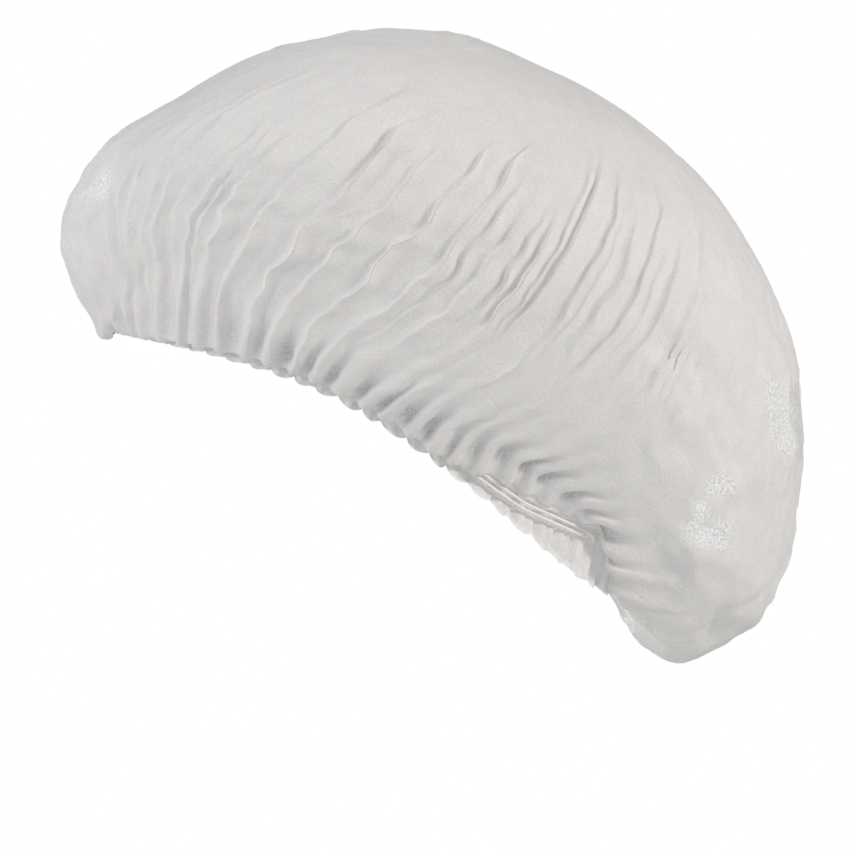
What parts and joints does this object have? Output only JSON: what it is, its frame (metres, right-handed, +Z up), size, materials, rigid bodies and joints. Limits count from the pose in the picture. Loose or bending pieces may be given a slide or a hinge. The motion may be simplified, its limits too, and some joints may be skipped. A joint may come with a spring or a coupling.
{
  "type": "disposable hair cover cap",
  "caption": "Puffed disposable hair cover cap of thin white nonwoven cloth, gathered into a ruffled hem by twin elastic threads, shaped as worn on a head.",
  "frame": {"origin": "centre of the ring that the elastic makes round the head, halfway between brow and nape", "axes": "-Y is the brow and +Y the nape, +X is the wearer's left and +Z is up"},
  "size_m": [0.1879, 0.2318, 0.1973],
  "materials": {
    "nonwoven_cloth": "matte spunbonded polypropylene nonwoven, white, slightly see-through, with a fine embossed point pattern",
    "elastic_thread": "white covered rubber thread, satin"
  },
  "bodies": {
    "root": {"crown_with_ruffle": "nonwoven_cloth", "elastic_thread_upper": "elastic_thread", "elastic_thread_lower": "elastic_thread"}
  },
  "joints": []
}
